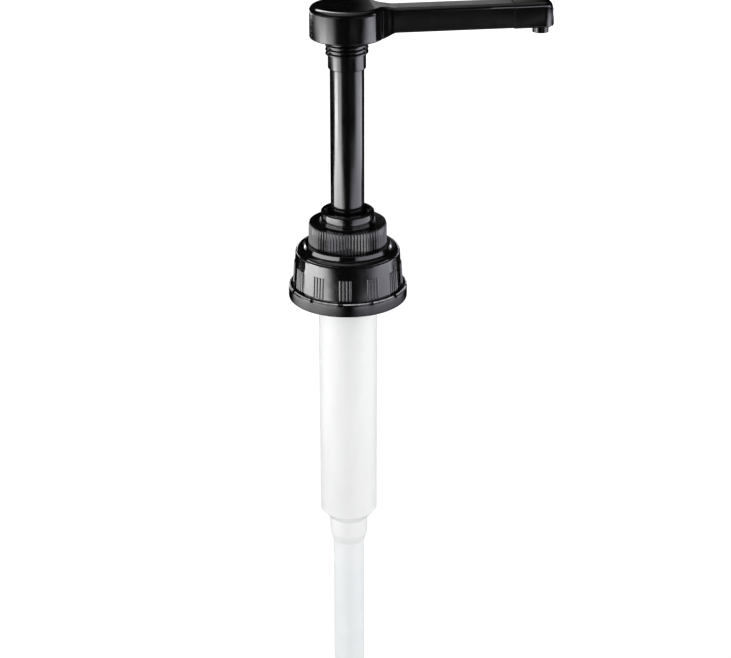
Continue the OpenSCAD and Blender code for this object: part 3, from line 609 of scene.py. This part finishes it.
class PUMP_OT_tube_and_piston(bpy.types.Operator):
    """Dip tube and piston seal in frosted plastic"""
    bl_idname = "pump.tube_and_piston"
    bl_label = "Dip tube and piston"

    def execute(self, context):
        dress(("dip_tube", "piston_seal"), "frosted")
        return {"FINISHED"}


class PUMP_OT_seals(bpy.types.Operator):
    """Gasket, wiper and flat seals in rubber"""
    bl_idname = "pump.seals"
    bl_label = "Seals"

    def execute(self, context):
        dress(("neck_gasket", "collar_seal", "stem_wiper", "stem_seal"), "rubber")
        return {"FINISHED"}


class PUMP_OT_steel_parts(bpy.types.Operator):
    """Balls and washer in steel, and a round-wire return spring"""
    bl_idname = "pump.steel_parts"
    bl_label = "Spring, balls and washer"

    def execute(self, context):
        dress(("inlet_ball", "outlet_ball", "thrust_washer"), "steel")
        sizes = context.scene.pump_spring
        wire_sides = 10
        turn_steps = 32
        end_gap = 0.55 * MM
        closed_pitch = sizes.wire + end_gap
        rise = high_spring.z - low_spring.z - sizes.wire
        open_turns = sizes.turns - 2
        open_pitch = (rise - 2 * closed_pitch) / open_turns
        foot = Matrix.Translation((sizes.radius, 0, low_spring.z + sizes.wire / 2))
        upright = Matrix.Rotation(math.pi / 2, 4, "X")
        bm = bmesh.new()
        bmesh.ops.create_circle(bm, segments=wire_sides, radius=sizes.wire / 2, matrix=foot @ upright)
        end = bm.verts[:] + bm.edges[:]
        for pitch, turns in ((closed_pitch, 1), (open_pitch, open_turns), (closed_pitch, 1)):
            spun = bmesh.ops.spin(bm, geom=end, cent=(0, 0, 0), axis=(0, 0, 1),
                                  dvec=(0, 0, pitch / turn_steps), angle=math.tau * turns,
                                  steps=turn_steps * turns, use_merge=False, use_duplicate=False)
            end = spun["geom_last"]
        close_ends(bm, sides=wire_sides)
        bmesh.ops.recalc_face_normals(bm, faces=bm.faces)
        soften(bm, angle=60)
        piece = new_piece("return_spring_wire", bm, "housing", "steel")
        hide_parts("return_spring")
        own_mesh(piece)
        return {"FINISHED"}


# studio

# the cloth on the right is a little bluer than the white one on the left
COOL = linear("#F2F2FF")
# height of the floor, just under the dip tube's end
GROUND = low_tube.z - 0.3 * MM
FLOOR_RADIUS = 4.0
TENT_FOOT = GROUND + MM
TENT_RADIUS = 2.2
# height of the reflectors that lie flat round the pump, just over the floor and the tent's foot
TABLE = GROUND + 2 * MM
# radius of the upright reflectors inside the tent
WALL = 1.0

# flat cards: name, strength, fades, and corners in metres to the camera's right, towards it and up
CARDS = (
    # greys the arm's top
    ("card_behind", 0.55, ((ACROSS, 0.01, 0.06), (ACROSS, 0.22, 0.13)),
     ((0.01, -1.2, 0.3), (0.6, -1.2, 0.3), (0.6, -1.2, 0.43), (0.01, -1.2, 0.43))),
    # lines the disc's rim
    ("card_high", 9.0, ((ACROSS, 0.05, -0.15),),
     ((0.05, -0.9, 0.6), (-0.75, -0.75, 0.6), (-0.6, -0.6, 0.9), (0.03, -0.7, 0.9))),
    # hangs over the pump for the views from above
    ("card_over", 1.5, ((ACROSS, 1.1, -0.8), (TOWARD, 1.2, 0.3)),
     ((-1.2, -1.2, 1.3), (1.2, -1.2, 1.3), (1.2, 1.2, 1.3), (-1.2, 1.2, 1.3))),
    # black, and keeps the light out of the hollow between disc and arm
    ("hollow_flag", 0.0, (),
     ((0.0176, 0.0027, 0.088), (0.0182, 0.0080, 0.088), (0.0182, 0.0080, 0.103), (0.0176, 0.0027, 0.103))),
)

# bands round the pump, each named for the part that mirrors it: radius and height of both edges in metres
BANDS = {
    "flange": (0.42, TABLE, 0.475, TABLE),
    "knurl": (0.475, TABLE, 0.575, TABLE),
    "boss": (0.575, TABLE, 0.612, TABLE),
    "skirt": (0.612, TABLE, 0.7, TABLE),
    "stem_foot": (0.7, TABLE, 0.78, TABLE),
    "stem": (0.78, TABLE, 0.985, TABLE),
    "plug": (WALL, TABLE, WALL, -0.178),
    "disc": (WALL, -0.178, WALL, -0.13),
    "arm": (WALL, -0.178, WALL, -0.155),
    "hub": (WALL, 0.1, WALL, 0.45),
    "back_foot": (1.25, TABLE, 2.0, TABLE),
    "back": (WALL, -0.11, WALL, 0.05),
}

# reflectors bent along a band: name, band, colour and strength, then in degrees round from the camera
# the fades from none to full, and the first and last place
REFLECTORS = (
    ("flange_left", "flange", WHITE, 3.8, ((0, -60), (-140, -80)), -140, 0),
    ("flange_right", "flange", COOL, 1.9, ((2, 45), (150, 60)), 0, 150),
    ("knurl_left", "knurl", WHITE, 6.0, ((-5, -25),), -130, -5),
    ("knurl_right", "knurl", COOL, 4.8, ((5, 25),), 5, 130),
    ("boss_left", "boss", WHITE, 7.0, ((-18, -26),), -103, -18),
    ("boss_right", "boss", COOL, 3.2, ((19, 25),), 19, 113),
    ("skirt_left", "skirt", WHITE, 11.5, ((-20, -50),), -103, -20),
    ("skirt_right", "skirt", COOL, 3.5, ((12, 52),), 12, 108),
    ("stem_left_low", "stem_foot", WHITE, 14.0, ((-28, -60), (-98, -88)), -98, -28),
    ("stem_right_low", "stem_foot", COOL, 5.0, ((34, 78), (122, 112)), 34, 122),
    ("stem_left", "stem", WHITE, 20.0, ((-94, -86),), -94, -64),
    ("stem_left_grey", "stem", WHITE, 7.0, ((-32, -48),), -64, -32),
    ("stem_right", "stem", COOL, 5.4, ((48, 80), (120, 112)), 48, 120),
    ("plug_left", "plug", WHITE, 9.0, ((-32, -58), (-116, -84)), -116, -32),
    ("plug_right", "plug", COOL, 6.0, ((44, 66), (122, 100)), 44, 122),
    ("disc_left", "disc", WHITE, 6.3, ((-128, -78), (-25, -72)), -128, -25),
    ("disc_right", "disc", COOL, 5.8, ((48, 76), (114, 78)), 50, 123),
    ("arm_front", "arm", WHITE, 0.5, ((5, 15), (42, 25)), 5, 42),
    ("hub_left", "hub", WHITE, 8.0, (), -100, -22),
    ("hub_right", "hub", COOL, 3.6, (), 21, 100),
    ("back_left_low", "back_foot", WHITE, 9.0, ((-112, -135), (-176, -160)), -176, -112),
    ("back_right_low", "back_foot", COOL, 7.0, ((112, 135), (176, 160)), 112, 176),
    ("back_left", "back", WHITE, 5.5, ((-128, -150), (-176, -160)), -176, -128),
    ("back_right", "back", COOL, 4.5, ((128, 150), (176, 160)), 128, 176),
)

# upright black flags that keep light off a rounded edge: name, radius, lower and upper height in metres,
# first and last place in degrees round from the camera
FLAGS = (
    ("back_flag", 0.15, 0.07, 0.195, -180, -122),
    ("rim_flag", 0.06, 0.101, 0.125, -125, 80),
    ("boss_flag", 0.0115, 0.0197, 0.0213, -130, 130),
    ("shoulder_flag", 0.0215, 0.0041, 0.0049, -130, 130),
)

# soft lamps: name, degrees round from the camera, distance, height, width and tallness in metres,
# power in watts
LAMPS = (
    ("lamp_left", -75.0, 0.9, 0.17, 0.9, 0.7, 4.4),
    ("lamp_right", 72.0, 0.9, 0.17, 0.9, 0.7, 4.3),
    ("lamp_low", -5.0, 0.7, -0.165, 0.5, 0.06, 0.36),
)
LAMP_AIM = Vector((0, 0, -0.05))


def stage_piece(name, bm, material):
    """A finished bmesh as a piece of the studio."""
    piece = mesh_object(name, bm, material)
    return piece


def mirrored_only(piece):
    """Shows a card in reflections alone, so that it neither lights nor shades the pump."""
    piece.visible_camera = False
    piece.visible_diffuse = False
    piece.visible_transmission = False
    piece.visible_shadow = False


def camera_directions(bearing):
    """Level directions towards the camera and to its right."""
    toward = Vector((-math.sin(bearing), -math.cos(bearing), 0))
    right = Vector((math.cos(bearing), -math.sin(bearing), 0))
    return toward, right


def direction_round(degrees, bearing):
    """The level direction that lies that far round from the camera, to the right where it is positive."""
    toward, right = camera_directions(bearing)
    angle = math.radians(degrees)
    return toward * math.cos(angle) + right * math.sin(angle)


def place_camera(scene, studio):
    """The camera at the photograph's viewing angle."""
    camera = bpy.data.cameras.new("camera")
    camera.sensor_width = 36.0
    camera.lens = camera.sensor_width * studio.focal_px / PHOTO[0]
    camera.shift_y = (studio.centre_y - PHOTO[1] / 2) / PHOTO[0]
    camera.clip_start = 0.01
    eye = bpy.data.objects.new("camera", camera)
    toward = camera_directions(studio.bearing)[0]
    eye.location = toward * studio.reach + Vector((0, 0, studio.height))
    eye.rotation_euler = (math.pi / 2 - studio.tilt, 0, -(studio.bearing + studio.aside))
    scene.collection.objects.link(eye)
    scene.camera = eye


def lay_floor(studio):
    """A round white floor under the dip tube's end."""
    bm = bmesh.new()
    bmesh.ops.create_circle(bm, cap_ends=True, segments=96, radius=FLOOR_RADIUS,
                            matrix=Matrix.Translation((0, 0, GROUND)))
    stage_piece("floor", bm, studio_white(tuple(studio.floor), studio.floor_glow, studio.far_glow))


def hang_tent():
    """A tent of black felt, seen only in reflections."""
    bm = bmesh.new()
    bmesh.ops.create_uvsphere(bm, u_segments=48, v_segments=24, radius=TENT_RADIUS)
    bmesh.ops.bisect_plane(bm, geom=bm.verts[:] + bm.edges[:] + bm.faces[:], plane_co=(0, 0, TENT_FOOT),
                           plane_no=(0, 0, -1), clear_outer=True)
    close_ends(bm, sides=0)
    mirrored_only(stage_piece("black_tent", bm, black_felt()))


def hang_reflector(name, bm, colour, strength, fades, bearing):
    """A finished bmesh as a reflector, or as a black flag where its strength is 0."""
    cloth = reflector_cloth(name + "_cloth", colour, strength, fades, bearing)
    mirrored_only(stage_piece(name, bm, cloth))


def hang_card(name, strength, fades, corners, bearing):
    """A flat card with those corners."""
    toward, right = camera_directions(bearing)
    bm = bmesh.new()
    bm.faces.new([bm.verts.new(right * x + toward * y + Vector((0, 0, z))) for x, y, z in corners])
    hang_reflector(name, bm, WHITE, strength, fades, bearing)


def bend_reflector(name, band, colour, strength, fades, first, last, bearing):
    """A reflector bent round the pump along a band, from the first place to the last."""
    inner_radius, inner_height, outer_radius, outer_height = band
    out = direction_round(first, bearing)
    bm = bmesh.new()
    ends = [bm.verts.new(out * radius + Vector((0, 0, height)))
            for radius, height in ((inner_radius, inner_height), (outer_radius, outer_height))]
    edge = bm.edges.new(ends)
    bmesh.ops.spin(bm, geom=ends + [edge], cent=(0, 0, 0), axis=(0, 0, -1),
                   angle=math.radians(first - last), steps=24)
    hang_reflector(name, bm, colour, strength, [(AROUND, none, full) for none, full in fades], bearing)


def place_lamp(scene, name, degrees, distance, height, width, tallness, power, bearing):
    """A soft lamp that the gloss doesn't show."""
    lamp = bpy.data.lights.new(name, "AREA")
    lamp.shape = "RECTANGLE"
    lamp.size = width
    lamp.size_y = tallness
    lamp.energy = power
    holder = bpy.data.objects.new(name, lamp)
    holder.location = direction_round(degrees, bearing) * distance + Vector((0, 0, height))
    holder.rotation_euler = (LAMP_AIM - holder.location).to_track_quat("-Z", "Y").to_euler()
    holder.visible_camera = False
    holder.visible_glossy = False
    scene.collection.objects.link(holder)


def light_room(scene, strength):
    """Even light from all round, and a background that is shown white."""
    world = bpy.data.worlds.new("studio_room")
    scene.world = world
    world.use_nodes = True
    tree = world.node_tree
    tree.nodes.clear()
    room = add(tree, "Background", {"Color": WHITE, "Strength": strength})
    backdrop = add(tree, "Background", {"Color": WHITE, "Strength": 1.0})
    mixed = add(tree, "MixShader", {0: shown_white(tree), 1: room.outputs[0], 2: backdrop.outputs[0]})
    add(tree, "OutputWorld", {"Surface": mixed.outputs[0]})


class PUMP_OT_studio(bpy.types.Operator):
    """White floor, soft lamps, reflectors in a black tent, and the camera"""
    bl_idname = "pump.studio"
    bl_label = "Studio"

    def execute(self, context):
        scene = context.scene
        studio = scene.pump_studio
        scene.view_settings.view_transform = "Standard"
        place_camera(scene, studio)
        lay_floor(studio)
        hang_tent()
        for card in CARDS:
            hang_card(*card, studio.bearing)
        for name, band, *rest in REFLECTORS:
            bend_reflector(name, BANDS[band], *rest, studio.bearing)
        for name, radius, bottom, top, first, last in FLAGS:
            bend_reflector(name, (radius, bottom, radius, top), WHITE, 0.0, (), first, last, studio.bearing)
        for lamp in LAMPS:
            place_lamp(scene, *lamp, studio.bearing)
        light_room(scene, studio.room)
        return {"FINISHED"}


class PUMP_PT_panel(bpy.types.Panel):
    """Buttons that dress the pump, with its sizes and colours"""
    bl_idname = "PUMP_PT_panel"
    bl_label = "Puree pump"
    bl_space_type = "VIEW_3D"
    bl_region_type = "UI"
    bl_category = "Pump"

    def draw(self, context):
        for step in STEPS:
            self.layout.operator(step.bl_idname)
        for group in GROUPS:
            sizes = getattr(context.scene, group)
            box = self.layout.box()
            for key in sizes.__annotations__:
                box.prop(sizes, key)


STEPS = (
    PUMP_OT_black_mouldings,
    PUMP_OT_lock_threads,
    PUMP_OT_neck_thread,
    PUMP_OT_flange_flash,
    PUMP_OT_milky_mouldings,
    PUMP_OT_tube_and_piston,
    PUMP_OT_seals,
    PUMP_OT_steel_parts,
    PUMP_OT_studio,
)
GROUPS = {
    "pump_threads": PumpThreads,
    "pump_flange": PumpFlange,
    "pump_spring": PumpSpring,
    "pump_finish": PumpFinish,
    "pump_studio": PumpStudio,
}


def register():
    for group, kind in GROUPS.items():
        bpy.utils.register_class(kind)
        setattr(bpy.types.Scene, group, PointerProperty(type=kind))
    for kind in STEPS + (PUMP_PT_panel,):
        bpy.utils.register_class(kind)


def unregister():
    for kind in reversed(STEPS + (PUMP_PT_panel,)):
        bpy.utils.unregister_class(kind)
    for group, kind in reversed(GROUPS.items()):
        delattr(bpy.types.Scene, group)
        bpy.utils.unregister_class(kind)


def main():
    register()
    bpy.ops.pump.black_mouldings()
    bpy.ops.pump.lock_threads()
    bpy.ops.pump.neck_thread()
    bpy.ops.pump.flange_flash()
    bpy.ops.pump.milky_mouldings()
    bpy.ops.pump.tube_and_piston()
    bpy.ops.pump.seals()
    bpy.ops.pump.steel_parts()
    bpy.ops.pump.studio()


if __name__ == "__main__":
    main()
